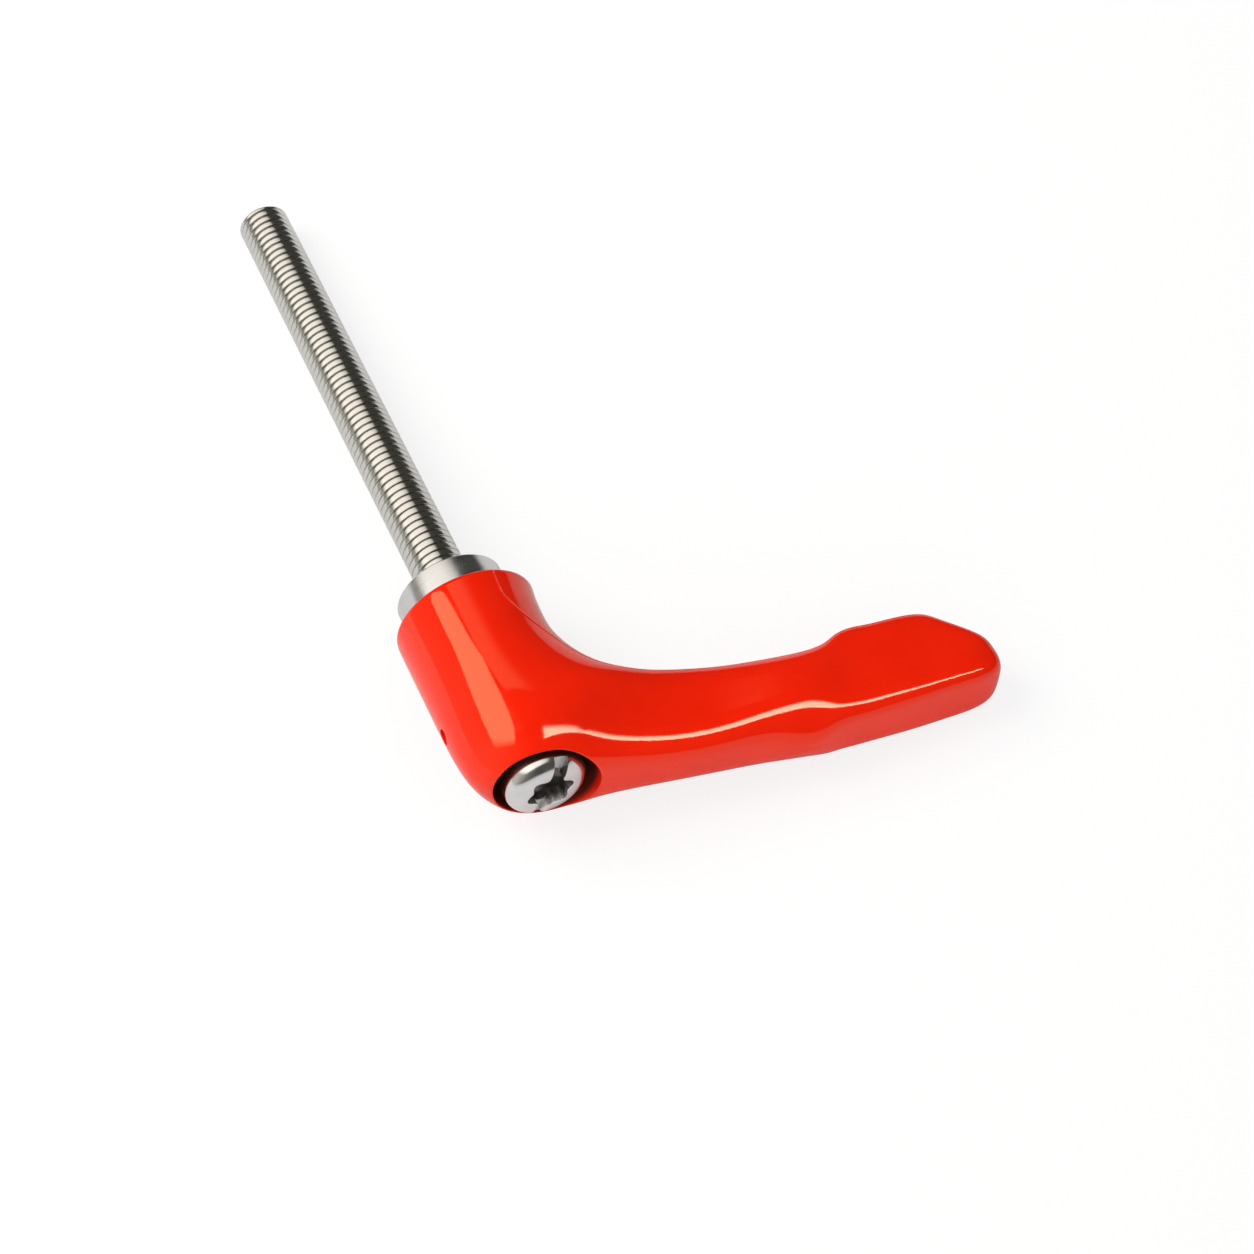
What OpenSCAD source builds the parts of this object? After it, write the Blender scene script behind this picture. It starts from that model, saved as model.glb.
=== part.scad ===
// Adjustable clamping lever with a threaded stud.
// A die-cast lever sits on a toothed insert that carries the stud. Pulled up against its spring,
// the lever leaves the teeth and can be turned to a new place; released, it locks on the teeth again.
// The pieces are drawn upright, with the clamping face at height 0, and then laid on their side:
// the stud points along +Y, the arm along +X, and +Z is up.

/* [Lever] */
// Outside diameter of the hub
hub_d = 20.4; // [20:0.1:26]
// Height of the hub's lower rim above the clamping face
hub_foot = 5.4; // [4:0.1:7]
// Height of the hub's crown above the clamping face
hub_crown = 38; // [36:0.1:50]
// How far the hub's foot stands out towards the arm
hub_flare = 0.7; // [0:0.1:1.5]
// Length of the bend from the hub's side to the root of the arm
bend_len = 10; // [8:0.5:14]
// Reach of the arm from the hub's axis to its tip
arm_reach = 67.2; // [56:0.1:100]
// Height of the grip's top above the clamping face
grip_top = 44.9; // [42:0.1:60]
// Height of the neck's underside above the clamping face
neck_under = 31; // [28:0.1:34]
// How far the grip's underside stands out below the neck
grip_drop = 1.5; // [0.6:0.1:3]
// Length of the grip, from its step to the tip
grip_len = 21.2; // [16:0.1:26]
// Thickness of the neck
neck_t = 10.1; // [7:0.1:14]
// Thickness of the neck where it swells before the grip
swell_t = 12.8; // [10:0.1:15]
// Thickness of the grip
grip_t = 10.6; // [7:0.1:14]
// Rounding of the hub's lower rim
rim_round = 0.2; // [0.1:0.1:0.8]
// Diameter of the vent hole in the back of the hub
vent_d = 2.4; // [1.5:0.1:4]
// Height of the vent hole above the web
vent_rise = 3.6; // [2:0.1:6]

/* [Insert] */
// Diameter of the insert's collar
collar_d = 16; // [12:0.1:17]
// Height of the collar, shown and guided
collar_h = 12; // [10.5:0.1:14]
// Bevel on the collar's edges
collar_bevel = 0.4; // [0.1:0.1:1]
// Number of locking teeth
tooth_count = 24; // [12:6:36]
// Diameter over the tips of the teeth
tooth_tip_d = 14; // [11:0.1:15]
// Depth of the teeth
tooth_depth = 0.9; // [0.5:0.1:1.4]
// Length of the teeth
tooth_len = 4.2; // [3:0.1:5]
// Height of the boss above the teeth, which carries the lever's web
boss_h = 0.8; // [0.4:0.1:2]

/* [Stud] */
// Thread diameter of the stud
stud_d = 8; // [6:0.5:9]
// Length of the stud beyond the clamping face
stud_len = 80; // [20:1:120]
// Depth to which the stud is screwed into the insert
stud_seat = 8.5; // [5:0.1:9]
// Bevel at the stud's tip
stud_bevel = 1.1; // [0.4:0.1:1.6]
// Depth of the stud's thread
stud_thread = 0.4; // [0.2:0.05:0.6]
// Width of the countersink round the stud in the clamping face
mouth_bevel = 0.7; // [0.6:0.05:1]

/* [Retaining screw] */
// Thread diameter of the screw
screw_d = 6; // [4:0.5:7]
// Depth to which the screw is screwed into the insert
screw_seat = 6.5; // [4:0.1:7]
// Diameter of the screw's head
head_d = 12; // [10:0.1:13]
// Height of the screw's head
head_h = 4.1; // [3:0.1:6]
// Rounding of the head's upper edge
head_round = 2; // [1:0.1:2.6]
// Width of the slot across the head
slot_w = 2.1; // [1:0.1:2.4]
// Depth of the slot
slot_depth = 1.5; // [0.8:0.1:2.4]
// Angle of the slot from the lever's thickness
slot_turn = 19; // [0:1:90]
// Size across the lobes of the recess
recess_d = 6.5; // [4:0.1:6.8]
// Depth of the recess
recess_depth = 2.4; // [1:0.1:3]

/* [Spring] */
// Outside diameter of the spring
spring_d = 11.6; // [9:0.1:12.5]
// Diameter of the spring's wire
wire_d = 1.2; // [0.8:0.1:1.5]
// Number of turns in the spring
spring_turns = 6; // [4:0.5:7]
// Length of the spring in place
spring_len = 13.4; // [11:0.1:16]

/* [Fits] */
// Running clearance of the lever on the collar, on the radius
guide_gap = 0.04; // [0.02:0.01:0.1]
// Clearance between the locking teeth
tooth_gap = 0.12; // [0.08:0.01:0.2]
// Clearance of the screw in the lever's web, on the radius
web_gap = 0.3; // [0.1:0.05:0.6]
// Clearance round the screw's head, on the radius
head_gap = 1.3; // [0.6:0.1:1.6]
// Thickness of the web that the spring pushes on
web_t = 3; // [2:0.1:4]

/* [Hidden] */
lever_red = [0.86, 0.09, 0.04];
stainless = [0.72, 0.72, 0.70];
screw_steel = [0.80, 0.80, 0.79];
spring_steel = [0.55, 0.56, 0.58];
hub_r = hub_d / 2;
collar_r = collar_d / 2;
stud_r = stud_d / 2;
stud_core_r = stud_r - stud_thread;
tooth_tip_r = tooth_tip_d / 2;
tooth_root_r = tooth_tip_r - tooth_depth;
teeth_top = collar_h + tooth_len;
// The lever's web rests on the insert's boss, the spring on the web, and the screw's head on the spring.
web_low = teeth_top + boss_h;
web_high = web_low + web_t;
head_low = web_high + spring_len;
pocket_r = head_d / 2 + head_gap;
// Steps of the smooth curve between two stations of the lever, and points round a section
station_steps = 3;
section_points = 48;
wire_sides = 10;
turn_steps = 20;
// Room that a cut takes beyond the face that it opens
over = 1;

// Lays an upright piece on its side, with its height along -Y.
module lay() rotate([90, 0, 0]) children();

function mix(a, b, k) = a + (b - a) * k;

// Heights on the underside from the hub's foot to the neck and on to the grip, on the hub's back from
// foot to crown, on the crown from the hub to the grip's top, and on the grip from underside to top
grip_under = neck_under - grip_drop;
function under(k) = mix(hub_foot, neck_under, k);
function belly(k) = mix(neck_under, grip_under, k);
function back(k) = mix(hub_foot, hub_crown, k);
function crown(k) = mix(hub_crown, grip_top, k);
function rise(k) = mix(grip_under, grip_top, k);
// Distances from the hub's axis: along the underside round the bend, along the neck and along the grip,
// and along the crown from the hub's back to the step of the grip
grip_start = arm_reach - grip_len;
function bend(k) = hub_r + bend_len * k;
function neck(k) = mix(bend(1), grip_start, k);
function grip(k) = mix(grip_start, arm_reach, k);
function ridge(k) = mix(-hub_r, grip_start, k);
function flare(k) = hub_r + hub_flare * k;
// Half thicknesses: from the neck up to the hub, from the neck to its swelling, from there down to the grip,
// and shares of the grip's
function root(k) = mix(neck_t, hub_d, k) / 2;
function swell(k) = mix(neck_t, swell_t, k) / 2;
function ebb(k) = mix(swell_t, grip_t, k) / 2;
function tip(k) = grip_t * k / 2;

// Each station is a section across the lever: underside distance and height, crown distance and height,
// half thickness, and squareness of the lower and the upper half, where 2 is round.
// The sections fan round the bend from hub to arm.
hub_stations = [
    [flare(1) - rim_round, hub_foot, rim_round - hub_r, hub_foot, hub_r - rim_round, 2, 2],
    [flare(1), hub_foot + rim_round, -hub_r, hub_foot + rim_round, hub_r, 2, 2],
    [flare(0.7), under(0.05), -hub_r, back(0.06), hub_r, 2, 2],
    [flare(0.4), under(0.12), -hub_r, back(0.17), hub_r, 2, 2],
    [flare(0.2), under(0.22), -hub_r, back(0.33), hub_r, 2, 2],
    [flare(0.25), under(0.35), -hub_r, back(0.51), hub_r, 2, 2]
];
bend_stations = [
    [bend(0.16), under(0.51), -hub_r, back(0.705), hub_r, 2.1, 1.9],
    [bend(0.38), under(0.655), ridge(0.021), back(0.883), hub_r, 2.3, 1.9],
    [bend(0.63), under(0.748), ridge(0.128), back(0.988), root(0.87), 2.6, 3],
    [bend(1), under(0.8), ridge(0.278), back(0.99), root(0.32), 2.9, 4]
];
// The neck swells before the grip, and its crown dips at the grip's step.
neck_stations = [
    [neck(0.17), under(0.84), ridge(0.475), crown(0.345), root(0.03), 3.3, 3.6],
    [neck(0.38), under(0.913), ridge(0.626), crown(0.525), swell(0.2), 3.4, 3.5],
    [neck(0.63), under(0.96), ridge(0.733), crown(0.625), swell(0.85), 2.8, 3],
    [neck(0.83), neck_under, ridge(0.815), crown(0.91), swell(1), 3.2, 1.9],
    [neck(0.96), belly(0.2), ridge(0.88), crown(0.94), ebb(0.4), 3.6, 2.7]
];
grip_stations = [
    [grip(0.03), belly(0.79), ridge(0.91), crown(0.88), ebb(0.75), 5, 4],
    [grip(0.167), belly(0.96), ridge(0.97), crown(0.92), ebb(1), 5.4, 4.6],
    [grip(0.26), rise(0.043), grip(0.07), crown(0.93), tip(1), 5.6, 5],
    [grip(0.465), rise(0.06), grip(0.35), crown(0.975), tip(1), 5.8, 5.6],
    [grip(0.65), rise(0.106), grip(0.605), crown(0.975), tip(0.98), 6, 6]
];
// The tip is cut off aslant below, and its edges are rounded.
tip_stations = [
    [grip(0.726), rise(0.222), grip(0.753), grip_top, tip(0.96), 5.6, 5.6],
    [grip(0.884), rise(0.422), grip(0.92), rise(0.98), tip(0.92), 4.6, 4.6],
    [arm_reach, rise(0.55), arm_reach, rise(0.89), tip(0.73), 3, 3],
    [arm_reach, rise(0.7), arm_reach, rise(0.76), tip(0.1), 2, 2]
];
stations = concat(hub_stations, bend_stations, neck_stations, grip_stations, tip_stations);

// A uniform cubic spline through the stations' own control rows, with its ends on the first and the last
function spline_row(a, b, c, d, s) =
    (pow(1 - s, 3) * a + (3 * pow(s, 3) - 6 * s * s + 4) * b
        + (-3 * pow(s, 3) + 3 * s * s + 3 * s + 1) * c + pow(s, 3) * d) / 6;
function with_ends(rows) =
    let (last = len(rows) - 1)
    concat([2 * rows[0] - rows[1]], rows, [2 * rows[last] - rows[last - 1]]);
function smooth_rows(rows, steps) =
    let (c = with_ends(rows), spans = len(rows) - 1)
    concat(
        [
            for (i = [0 : spans - 1], k = [0 : steps - 1])
            spline_row(c[i], c[i + 1], c[i + 2], c[i + 3], k / steps)
        ],
        [rows[spans]]
    );

// Points of a rounded section between its underside and its crown
function rounded(v, squareness) = sign(v) * pow(abs(v), 2 / squareness);
function section(row, count) = [
    for (k = [0 : count - 1])
    let (
        a = 360 * k / count,
        squareness = cos(a) < 0 ? row[5] : row[6],
        along = rounded(cos(a), squareness),
        across = rounded(sin(a), squareness)
    )
    [
        (row[0] + row[2]) / 2 + (row[2] - row[0]) / 2 * along,
        row[4] * across,
        (row[1] + row[3]) / 2 + (row[3] - row[1]) / 2 * along
    ]
];

// A closed skin over rings of points, with a flat face on the first and the last ring
module skin(rings) {
    n = len(rings[0]);
    last = (len(rings) - 1) * n;
    points = [for (ring = rings) each ring];
    walls = [
        for (i = [0 : len(rings) - 2], j = [0 : n - 1])
        let (a = i * n + j, b = i * n + (j + 1) % n)
        each [[a, a + n, b], [b, a + n, b + n]]
    ];
    ends = [[for (j = [0 : n - 1]) j], [for (j = [n - 1 : -1 : 0]) last + j]];
    polyhedron(points, concat(walls, ends), convexity = 10);
}

// Half width of a tooth at its root and at its tip, as shares of the pitch
root_share = 0.36;
tip_share = 0.15;

// Outline of the locking teeth, grown by a clearance
function teeth_outline(gap) = [
    for (k = [0 : tooth_count - 1], share = [-root_share, -tip_share, tip_share, root_share])
    let (
        r = (abs(share) == tip_share ? tooth_tip_r : tooth_root_r) + gap,
        widen = sign(share) * gap / r * 180 / PI,
        a = 360 / tooth_count * (k + share) + widen
    )
    [r * cos(a), r * sin(a)]
];

// A round bar between two heights
module bar(r, low, high) translate([0, 0, low]) cylinder(r = r, h = high - low, $fn = 96);

// What the lever is hollowed by: the guide for the collar, the toothed socket, the screw's hole,
// the pocket for spring and head, and the vent
module lever_hollow() {
    bar(collar_r + guide_gap, hub_foot - over, collar_h + tooth_gap);
    translate([0, 0, collar_h]) linear_extrude(web_low - collar_h) polygon(teeth_outline(tooth_gap));
    bar(screw_d / 2 + web_gap, web_low - over, web_high + over);
    bar(pocket_r, web_high, grip_top + over);
    translate([0, 0, web_high + vent_rise]) rotate([0, -90, 0])
        bar(vent_d / 2, pocket_r - over, hub_r + over);
}

// Cast lever: hub, bend, neck and stepped grip in one skin
module lever() lay() color(lever_red) difference() {
    skin([for (row = smooth_rows(stations, station_steps)) section(row, section_points)]);
    lever_hollow();
}

// Turned insert: the collar with the clamping face, the locking teeth, the boss and a hole at each end
module toothed_insert() lay() color(stainless) difference() {
    union() {
        rotate_extrude($fn = 96) polygon([
            [0, 0],
            [collar_r - collar_bevel, 0],
            [collar_r, collar_bevel],
            [collar_r, collar_h - collar_bevel],
            [collar_r - collar_bevel, collar_h],
            [0, collar_h]
        ]);
        translate([0, 0, collar_h]) linear_extrude(tooth_len) polygon(teeth_outline(0));
        bar(tooth_root_r, teeth_top, web_low);
    }
    rotate_extrude($fn = 96) polygon([
        [0, -over],
        [stud_core_r + mouth_bevel + over, -over],
        [stud_core_r, mouth_bevel],
        [stud_core_r, stud_seat],
        [0, stud_seat]
    ]);
    bar(screw_d / 2, web_low - screw_seat, web_low + over);
}

// Threaded stud: full thread diameter outside, and the middle of its thread where the insert holds it
module threaded_stud() lay() color(stainless) rotate_extrude($fn = 96) polygon([
    [0, stud_seat],
    [stud_core_r, stud_seat],
    [stud_core_r, 0],
    [stud_r, 0],
    [stud_r, stud_bevel - stud_len],
    [stud_r - stud_bevel, -stud_len],
    [0, -stud_len]
]);

// Six-lobed outline of the screw's recess, with the lobes' depth as a share of its radius
lobe_share = 0.28;
lobe_points = 72;
lobe_outline = [
    for (k = [0 : lobe_points - 1])
    let (
        a = 360 * k / lobe_points,
        r = recess_d / 2 * (1 - lobe_share * (1 - cos(6 * a)) / 2)
    )
    [r * cos(a), r * sin(a)]
];

// Pan-head screw with a slot across a six-lobed recess
module retaining_screw() lay() color(screw_steel) difference() {
    top = head_low + head_h;
    edge = head_d / 2 - head_round;
    union() {
        rotate_extrude($fn = 96) polygon(concat(
            [[0, head_low], [head_d / 2, head_low]],
            [for (a = [0 : 10 : 90]) [edge + head_round * cos(a), top - head_round + head_round * sin(a)]],
            [[0, top]]
        ));
        bar(screw_d / 2, web_low - screw_seat, head_low + over);
    }
    translate([0, 0, top]) rotate(90 - slot_turn) {
        cube([2 * head_d, slot_w, 2 * slot_depth], center = true);
        translate([0, 0, -recess_depth]) linear_extrude(recess_depth + over) polygon(lobe_outline);
    }
}

// Height of the wire's middle after some turns: close end turns, and an even pitch between them
end_pitch = 1.12 * wire_d;
wire_start = 0.3 * wire_d;
mid_pitch = (spring_len - 2 * wire_start - 2 * end_pitch) / (spring_turns - 2);
function wire_height(t) =
    wire_start + end_pitch * min(t, 1) + mid_pitch * max(0, min(t, spring_turns - 1) - 1)
        + end_pitch * max(0, t - spring_turns + 1);
function wire_ring(t) =
    let (a = 360 * t, mid_r = (spring_d - wire_d) / 2)
    [
        for (k = [wire_sides - 1 : -1 : 0])
        let (
            b = 360 * k / wire_sides,
            r = mid_r + wire_d / 2 * cos(b)
        )
        [r * cos(a), r * sin(a), wire_height(t) + wire_d / 2 * sin(b)]
    ];

// Compression spring with ground ends, between the lever's web and the screw's head
module compression_spring() lay() color(spring_steel) translate([0, 0, web_high]) intersection() {
    skin([for (k = [0 : spring_turns * turn_steps]) wire_ring(k / turn_steps)]);
    bar(spring_d, 0, spring_len);
}

lever();
toothed_insert();
threaded_stud();
retaining_screw();
compression_spring();
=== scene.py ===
# Looks of an adjustable clamping lever: a coated casting on a toothed insert, with stud, screw and spring.
import math

import bmesh
import bpy
import numpy as np
from mathutils import Matrix, Vector
from mathutils.bvhtree import BVHTree


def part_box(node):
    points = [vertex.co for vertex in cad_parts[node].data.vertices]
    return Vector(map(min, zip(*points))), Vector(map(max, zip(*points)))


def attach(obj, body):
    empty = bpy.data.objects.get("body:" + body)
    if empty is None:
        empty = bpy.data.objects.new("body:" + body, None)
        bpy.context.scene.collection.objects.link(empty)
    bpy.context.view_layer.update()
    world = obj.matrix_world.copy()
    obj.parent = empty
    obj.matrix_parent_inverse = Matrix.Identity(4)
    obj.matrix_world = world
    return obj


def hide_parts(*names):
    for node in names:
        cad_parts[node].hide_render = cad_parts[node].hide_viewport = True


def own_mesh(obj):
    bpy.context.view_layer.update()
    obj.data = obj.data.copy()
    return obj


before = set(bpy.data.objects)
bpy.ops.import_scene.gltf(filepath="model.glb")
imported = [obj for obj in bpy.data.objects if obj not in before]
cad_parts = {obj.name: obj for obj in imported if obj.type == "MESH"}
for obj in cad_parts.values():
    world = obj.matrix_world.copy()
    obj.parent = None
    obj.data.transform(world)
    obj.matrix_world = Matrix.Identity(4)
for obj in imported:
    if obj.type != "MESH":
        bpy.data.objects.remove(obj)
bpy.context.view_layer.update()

# Sizes are in millimetres, and heights run up from the clamping face, against +Y.
MM = 0.001


def span(name):
    """Lowest and highest corner of a frame piece."""
    low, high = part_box(name)
    return np.round(np.array(low) / MM, 3), np.round(np.array(high) / MM, 3)


lever_low, lever_high = span("lever")
insert_low, insert_high = span("toothed_insert")
stud_low, stud_high = span("threaded_stud")
screw_low, screw_high = span("retaining_screw")
spring_low, spring_high = span("compression_spring")

# The casting
HUB_R = -lever_low[0]
HUB_FOOT = -lever_high[1]
HUB_CROWN = 38.0
HUB_FLARE = 0.7
BEND_LEN = 10.0
ARM_REACH = lever_high[0]
# The crown's curve stays a little below the grip's highest station.
CROWN_EASE = 0.07
GRIP_TOP = -lever_low[1] + CROWN_EASE
GRIP_LEN = 21.2
GRIP_DROP = 1.5
GRIP_T = 10.6
NECK_UNDER = 31.0
NECK_T = 10.1
SWELL_T = 12.8
RIM_ROUND = 0.2
VENT_R = 1.2
VENT_RISE = 3.6
POCKET_ROUND = 0.35
# Height of the pocket's rim on the axis, and its slope towards the arm
RIM_HEIGHT = 36.4
RIM_SLOPE = 0.19
GUIDE_BEVEL = 0.25
# Angles of the parting line round a section, from the crown, at the hub's foot and on the arm,
# in degrees, and the stations between which it turns
SEAM_AT_FOOT = 112.0
SEAM_ON_ARM = 140.0
SEAM_TURN = (3.0, 6.2)
SEAM_HALF_WIDTH = 0.13
SEAM_RIDGE = 0.07
# The insert
COLLAR_R = insert_high[0]
COLLAR_H = 12.0
COLLAR_BEVEL = 0.4
TOOTH_COUNT = 24
TOOTH_TIP_R = 7.0
TOOTH_ROOT_R = 6.1
TOOTH_LEN = 4.2
TOOTH_ROOT_SHARE = 0.36
TOOTH_TIP_SHARE = 0.15
WEB_LOW = -insert_low[1]
GUIDE_GAP = 0.04
TOOTH_GAP = 0.12
WEB_HOLE_R = 3.3
# The stud
STUD_R = stud_high[0]
STUD_LEN = stud_high[1]
STUD_SEAT = -stud_low[1]
STUD_BEVEL = 1.1
STUD_CORE_R = 3.6
STUD_PITCH = 1.25
STUD_CREST_R = STUD_R - 0.06
STUD_MOUTH = 0.7
# A rolled thread's crest and groove, as shares of half a pitch, and its depth and crown as shares of a pitch
CREST_SHARE = 0.72
GROOVE_SHARE = 0.99
GROOVE_DEPTH = 0.34
CREST_CROWN = 0.045
# How strongly the mesh's points crowd towards the groove
GROOVE_CROWDING = 0.75
# The screw
SCREW_R = 3.0
SCREW_PITCH = 1.0
SCREW_FOOT = -screw_high[1]
HEAD_R = screw_high[0]
HEAD_TOP = -screw_low[1]
HEAD_ROUND = 2.0
HEAD_SWEEP = 2.7
SLOT_W = 2.1
SLOT_DEPTH = 1.5
SLOT_TURN = 19.0
# How much of the recess's painted shade the slot has
SLOT_SHADE = 0.5
RECESS_R = 3.45
RECESS_DEPTH = 2.4
LOBE_SHARE = 0.22
EDGE_BREAK = 0.09
POCKET_R = HEAD_R + 1.3
# The spring
SPRING_R = spring_high[0]
WIRE_R = 0.6
SPRING_TURNS = 6
WEB_HIGH = -spring_high[1]
HEAD_LOW = -spring_low[1]

# Fineness of the meshes
STATION_STEPS = 10
CROWN_COLUMNS = 70
UNDER_COLUMNS = 34
TURN_STEPS = 192
THREAD_STEPS = 64
PITCH_STEPS = 16
WIRE_STEPS = 64
WIRE_SIDES = 16
# Room that a cut takes beyond the face that it opens
OVER = 1.0


def mix(a, b, k):
    return a + (b - a) * k


# Mesh tools

def piece_from(name, points, faces):
    """A mesh object from points in millimetres, with doubled points merged and faces turned outwards."""
    mesh = bpy.data.meshes.new(name)
    mesh.from_pydata((np.asarray(points) * MM).tolist(), [], faces)
    shape = bmesh.new()
    shape.from_mesh(mesh)
    bmesh.ops.remove_doubles(shape, verts=shape.verts, dist=1e-7)
    bmesh.ops.dissolve_degenerate(shape, dist=1e-8, edges=shape.edges)
    bmesh.ops.recalc_face_normals(shape, faces=shape.faces)
    shape.to_mesh(mesh)
    shape.free()
    piece = bpy.data.objects.new(name, mesh)
    bpy.context.scene.collection.objects.link(piece)
    return piece


def skin(name, rings):
    """A closed mesh over rings of points, with a flat face on the first and the last ring."""
    rings = np.asarray(rings)
    count, around = rings.shape[:2]
    faces = [
        (i * around + j, i * around + k, (i + 1) * around + k, (i + 1) * around + j)
        for i in range(count - 1)
        for j, k in zip(range(around), [*range(1, around), 0])
    ]
    last = (count - 1) * around
    faces += [tuple(range(around)), tuple(range(last, last + around))]
    return piece_from(name, rings.reshape(-1, 3), faces)


def circle(radius, height, steps=TURN_STEPS):
    """Points round the stud's axis. The radius and the height may change round the turn."""
    turn = np.linspace(0, 2 * np.pi, steps, endpoint=False)
    points = np.empty((steps, 3))
    points[:, 0] = radius * np.cos(turn)
    points[:, 1] = -np.asarray(height)
    points[:, 2] = radius * np.sin(turn)
    return points


def turned(name, profile):
    """A solid of revolution from a profile of radius and height that starts and ends on the axis."""
    return skin(name, [circle(radius, height) for radius, height in profile])


def prism(name, outline, low, high):
    """An outline, given as points across the stud's axis, carried from one height to another."""
    outline = np.asarray(outline)
    rings = [np.column_stack([outline[:, 0], np.full(len(outline), -h), outline[:, 1]]) for h in (low, high)]
    return skin(name, rings)


def settle(piece):
    """Makes the result of the modifiers the piece's own mesh."""
    bpy.context.view_layer.update()
    shaped = piece.evaluated_get(bpy.context.evaluated_depsgraph_get())
    mesh = bpy.data.meshes.new_from_object(shaped)
    piece.modifiers.clear()
    piece.data = mesh


def carve(piece, tool, how="DIFFERENCE"):
    """Cuts, joins or clips a piece with a tool, which is then dropped."""
    modifier = piece.modifiers.new("carve", "BOOLEAN")
    modifier.object = tool
    modifier.operation = how
    modifier.solver = "EXACT"
    settle(piece)
    bpy.data.objects.remove(tool)


def break_edges(piece, width, angle):
    """Rounds the edges that are sharper than an angle."""
    modifier = piece.modifiers.new("break_edges", "BEVEL")
    modifier.width = width * MM
    modifier.segments = 2
    modifier.limit_method = "ANGLE"
    modifier.angle_limit = math.radians(angle)
    modifier.use_clamp_overlap = True
    settle(piece)


def shade(piece, angle):
    """Shades a piece smoothly, with a crease at edges that are sharper than an angle."""
    piece.data.shade_smooth()
    piece.data.set_sharp_from_angle(angle=math.radians(angle))


def teeth_outline(gap):
    """Outline of the locking teeth, grown by a clearance."""
    points = []
    for tooth in range(TOOTH_COUNT):
        for share, radius in (
            (-TOOTH_ROOT_SHARE, TOOTH_ROOT_R),
            (-TOOTH_TIP_SHARE, TOOTH_TIP_R),
            (TOOTH_TIP_SHARE, TOOTH_TIP_R),
            (TOOTH_ROOT_SHARE, TOOTH_ROOT_R),
        ):
            r = radius + gap
            a = 2 * np.pi / TOOTH_COUNT * (tooth + share) + np.sign(share) * gap / r
            points.append((r * np.cos(a), r * np.sin(a)))
    return points


def threaded(name, low, high, pitch, crest_r, limit):
    """A right-hand threaded bar along +Y between two places, with its radius held under limit(place)."""
    first = math.floor(low / pitch) - 1
    steps = (math.ceil(high / pitch) + 1 - first) * THREAD_STEPS
    turn = np.arange(steps + THREAD_STEPS) / THREAD_STEPS
    share = np.arange(PITCH_STEPS) / PITCH_STEPS
    # The points crowd towards the groove at the start of the pitch.
    share = share - GROOVE_CROWDING * np.sin(2 * np.pi * share) / (2 * np.pi)
    off_crest = np.abs(share * 2 - 1)
    flank = np.clip((off_crest - CREST_SHARE) / (GROOVE_SHARE - CREST_SHARE), 0, 1)
    fall = GROOVE_DEPTH * flank * flank * (3 - 2 * flank) + CREST_CROWN * off_crest ** 2
    place = (first + turn[:, None] + share[None, :]) * pitch
    radius = np.minimum(crest_r - pitch * fall[None, :], limit(place))
    angle = 2 * np.pi * turn[:, None]
    points = np.stack([radius * np.cos(angle), place, -radius * np.sin(angle)], -1).reshape(-1, 3)

    def spot(step, k):
        return (step + THREAD_STEPS) * PITCH_STEPS if k == PITCH_STEPS else step * PITCH_STEPS + k

    faces = [
        (spot(s, k), spot(s + 1, k), spot(s + 1, k + 1), spot(s, k + 1))
        for s in range(steps - 1)
        for k in range(PITCH_STEPS)
    ]
    bar = piece_from(name, points, faces)
    shape = bmesh.new()
    shape.from_mesh(bar.data)
    for end, outwards in ((low, -1), (high, 1)):
        cut = bmesh.ops.bisect_plane(
            shape,
            geom=[*shape.verts, *shape.edges, *shape.faces],
            dist=1e-8,
            plane_co=(0, end * MM, 0),
            plane_no=(0, outwards, 0),
            clear_outer=True,
        )
        edges = [e for e in cut["geom_cut"] if isinstance(e, bmesh.types.BMEdge)]
        bmesh.ops.edgeloop_fill(shape, edges=edges)
    loose = [v for v in shape.verts if not v.link_faces]
    bmesh.ops.delete(shape, geom=loose, context="VERTS")
    bmesh.ops.recalc_face_normals(shape, faces=shape.faces)
    shape.to_mesh(bar.data)
    shape.free()
    return bar


# The casting

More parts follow.
